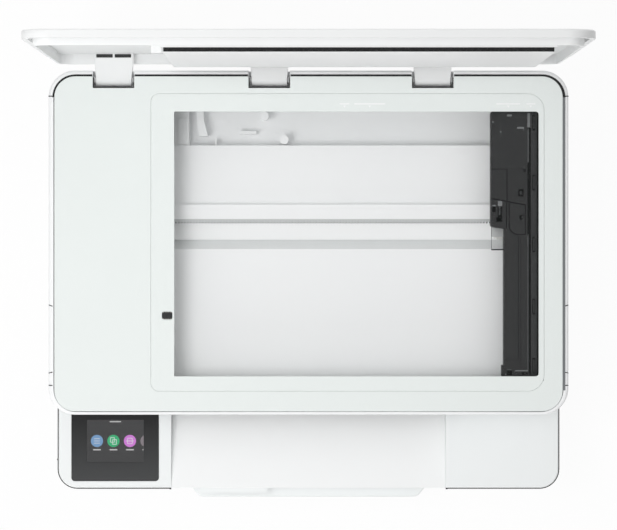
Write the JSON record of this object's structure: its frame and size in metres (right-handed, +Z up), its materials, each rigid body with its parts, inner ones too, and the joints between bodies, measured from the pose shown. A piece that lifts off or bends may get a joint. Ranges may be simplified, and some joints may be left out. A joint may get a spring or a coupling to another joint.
{
  "type": "inkjet printer",
  "caption": "Low white inkjet printer with a flatbed scanner: open lid on hinge legs, scan glass, touch screen, output ramp, front paper tray and a full print engine inside.",
  "frame": {"origin": "middle of the footprint at the table, with the lid open", "axes": "+X to the right as seen by the user, +Y to the back, +Z up"},
  "size_m": [0.436, 0.38, 0.416],
  "materials": {
    "white_plastic": "fine matt texture",
    "panel_plastic": "satin",
    "lid_plastic": "satin",
    "inner_plastic": "satin",
    "dark_plastic": "matt",
    "black_lens": "polished",
    "display": "polished",
    "clear_glass": "polished",
    "pad_white": "matt",
    "pad_foam": "open cell",
    "gear_plastic": "satin",
    "steel": "ground",
    "sheet_steel": "rolled",
    "rubber": "matt",
    "grey_plastic": "matt",
    "board": "solder mask",
    "ink_colour": "label",
    "optic": "polished"
  },
  "bodies": {
    "base": {"base_pan": "white_plastic", "base_shell": "white_plastic", "port_plates": "white_plastic", "feet": "rubber", "deck_left": "white_plastic", "deck_right": "white_plastic", "screen_lens": "black_lens", "display_module": "display", "output_ramp": "white_plastic", "engine_frame": "sheet_steel", "guide_rod": "steel", "feed_motor": "steel", "platen": "dark_plastic", "paper_guide": "dark_plastic", "drive_belt": "rubber", "carriage_motor": "steel", "service_station": "grey_plastic", "main_board": "board", "power_supply": "dark_plastic", "power_inlet": "dark_plastic", "data_socket": "steel"},
    "scanner": {"scanner_pan": "white_plastic", "scanner_cover": "panel_plastic", "glass_bezel": "panel_plastic", "scan_glass": "clear_glass", "lid_sensor": "dark_plastic", "scan_rack": "inner_plastic"},
    "scan_head": {"scan_head": "dark_plastic", "optical_bar": "optic", "scan_motor": "steel"},
    "scan_pinion": {"scan_pinion": "gear_plastic"},
    "lid": {"lid_skin": "lid_plastic", "lid_frame": "lid_plastic", "pad_foam": "pad_foam", "pad_sheet": "pad_white", "hinge_leg_left": "lid_plastic", "hinge_leg_middle": "lid_plastic", "hinge_leg_right": "lid_plastic"},
    "tray": {"tray_pan": "grey_plastic", "tray_front": "white_plastic"},
    "width_guide_left": {"width_guide_left": "grey_plastic"},
    "width_guide_right": {"width_guide_right": "grey_plastic"},
    "length_guide": {"length_guide": "grey_plastic"},
    "extender": {"output_extender": "white_plastic"},
    "feed_roller": {"feed_roller": "steel"},
    "exit_roller": {"exit_roller": "rubber"},
    "idler_gear": {"idler_gear": "gear_plastic"},
    "motor_pinion": {"motor_pinion": "gear_plastic"},
    "pinch_rollers": {"pinch_rollers": "dark_plastic"},
    "star_wheels": {"star_wheels": "steel"},
    "pick_arm": {"pick_arm": "dark_plastic"},
    "pick_roller": {"pick_roller": "rubber"},
    "carriage": {"ink_carriage": "dark_plastic", "black_cartridge": "dark_plastic", "colour_cartridge": "ink_colour"},
    "latch_left": {"latch_left": "grey_plastic"},
    "latch_right": {"latch_right": "grey_plastic"},
    "drive_pulley": {"drive_pulley": "gear_plastic"},
    "idler_pulley": {"idler_pulley": "gear_plastic"},
    "power_button": {"power_button": "grey_plastic"}
  },
  "joints": [
    {"name": "scanner_lift", "type": "hinge", "parent": "base", "child": "scanner", "pos_m": [0, 0.167, 0.091], "axis": [-1, 0, 0], "range_deg": [0, 38]},
    {"name": "lid_hinge", "type": "hinge", "parent": "scanner", "child": "lid", "pos_m": [0, 0.1645, 0.1355], "axis": [1, 0, 0], "range_deg": [0, 90]},
    {"name": "scan_travel", "type": "slide", "parent": "scanner", "child": "scan_head", "axis": [-1, 0, 0], "range_m": [0, 0.262]},
    {"name": "scan_pinion_spin", "type": "hinge", "parent": "scan_head", "child": "scan_pinion", "pos_m": [0.16125, 0.0381, 0.116], "axis": [0, 0, 1], "continuous": true},
    {"name": "tray_pull", "type": "slide", "parent": "base", "child": "tray", "axis": [0, -1, 0], "range_m": [0, 0.15]},
    {"name": "guide_left_slide", "type": "slide", "parent": "tray", "child": "width_guide_left", "axis": [1, 0, 0], "range_m": [0, 0.054]},
    {"name": "guide_right_slide", "type": "slide", "parent": "tray", "child": "width_guide_right", "axis": [-1, 0, 0], "range_m": [0, 0.054]},
    {"name": "length_guide_slide", "type": "slide", "parent": "tray", "child": "length_guide", "axis": [0, 1, 0], "range_m": [0, 0.1]},
    {"name": "extender_pull", "type": "slide", "parent": "base", "child": "extender", "axis": [0, -0.9772, 0.2121], "range_m": [0, 0.06]},
    {"name": "feed_spin", "type": "hinge", "parent": "base", "child": "feed_roller", "pos_m": [0, 0.012, 0.042], "axis": [1, 0, 0], "continuous": true},
    {"name": "exit_spin", "type": "hinge", "parent": "base", "child": "exit_roller", "pos_m": [0, -0.045, 0.042], "axis": [1, 0, 0], "continuous": true},
    {"name": "idler_gear_spin", "type": "hinge", "parent": "base", "child": "idler_gear", "pos_m": [-0.198, -0.0165, 0.042], "axis": [1, 0, 0], "continuous": true},
    {"name": "motor_pinion_spin", "type": "hinge", "parent": "base", "child": "motor_pinion", "pos_m": [-0.198, 0.0405, 0.042], "axis": [1, 0, 0], "continuous": true},
    {"name": "pinch_spin", "type": "hinge", "parent": "base", "child": "pinch_rollers", "pos_m": [0, 0.012, 0.0514], "axis": [1, 0, 0], "continuous": true},
    {"name": "star_spin", "type": "hinge", "parent": "base", "child": "star_wheels", "pos_m": [0, -0.045, 0.0524], "axis": [1, 0, 0], "continuous": true},
    {"name": "pick_swing", "type": "hinge", "parent": "base", "child": "pick_arm", "pos_m": [0, 0.068, 0.044], "axis": [1, 0, 0], "range_deg": [0, 10]},
    {"name": "pick_spin", "type": "hinge", "parent": "pick_arm", "child": "pick_roller", "pos_m": [0, 0.1, 0.024], "axis": [1, 0, 0], "continuous": true},
    {"name": "carriage_travel", "type": "slide", "parent": "base", "child": "carriage", "axis": [-1, 0, 0], "range_m": [0, 0.285]},
    {"name": "drive_pulley_spin", "type": "hinge", "parent": "base", "child": "drive_pulley", "pos_m": [-0.18, 0.044, 0.077], "axis": [0, 1, 0], "continuous": true},
    {"name": "idler_pulley_spin", "type": "hinge", "parent": "base", "child": "idler_pulley", "pos_m": [0.18, 0.044, 0.077], "axis": [0, 1, 0], "continuous": true},
    {"name": "latch_left_tilt", "type": "hinge", "parent": "carriage", "child": "latch_left", "pos_m": [0.131, -0.0375, 0.066], "axis": [1, 0, 0], "range_deg": [0, 35]},
    {"name": "latch_right_tilt", "type": "hinge", "parent": "carriage", "child": "latch_right", "pos_m": [0.169, -0.0375, 0.066], "axis": [1, 0, 0], "range_deg": [0, 35]},
    {"name": "power_press", "type": "slide", "parent": "base", "child": "power_button", "axis": [0, -1, 0], "range_m": [0, 0.0008], "stiffness_N_per_m": 700}
  ],
  "couplings": [
    {"joint": "scan_pinion_spin", "follows": "scan_travel", "rad_per_m": -138.89},
    {"joint": "guide_right_slide", "follows": "guide_left_slide", "ratio": 1},
    {"joint": "exit_spin", "follows": "feed_spin", "ratio": 1},
    {"joint": "idler_gear_spin", "follows": "feed_spin", "ratio": -2.3529},
    {"joint": "motor_pinion_spin", "follows": "feed_spin", "ratio": -2.3529},
    {"joint": "pinch_spin", "follows": "feed_spin", "ratio": -2},
    {"joint": "star_spin", "follows": "feed_spin", "ratio": -1.5},
    {"joint": "drive_pulley_spin", "follows": "carriage_travel", "rad_per_m": 142.86},
    {"joint": "idler_pulley_spin", "follows": "carriage_travel", "rad_per_m": 142.86}
  ]
}
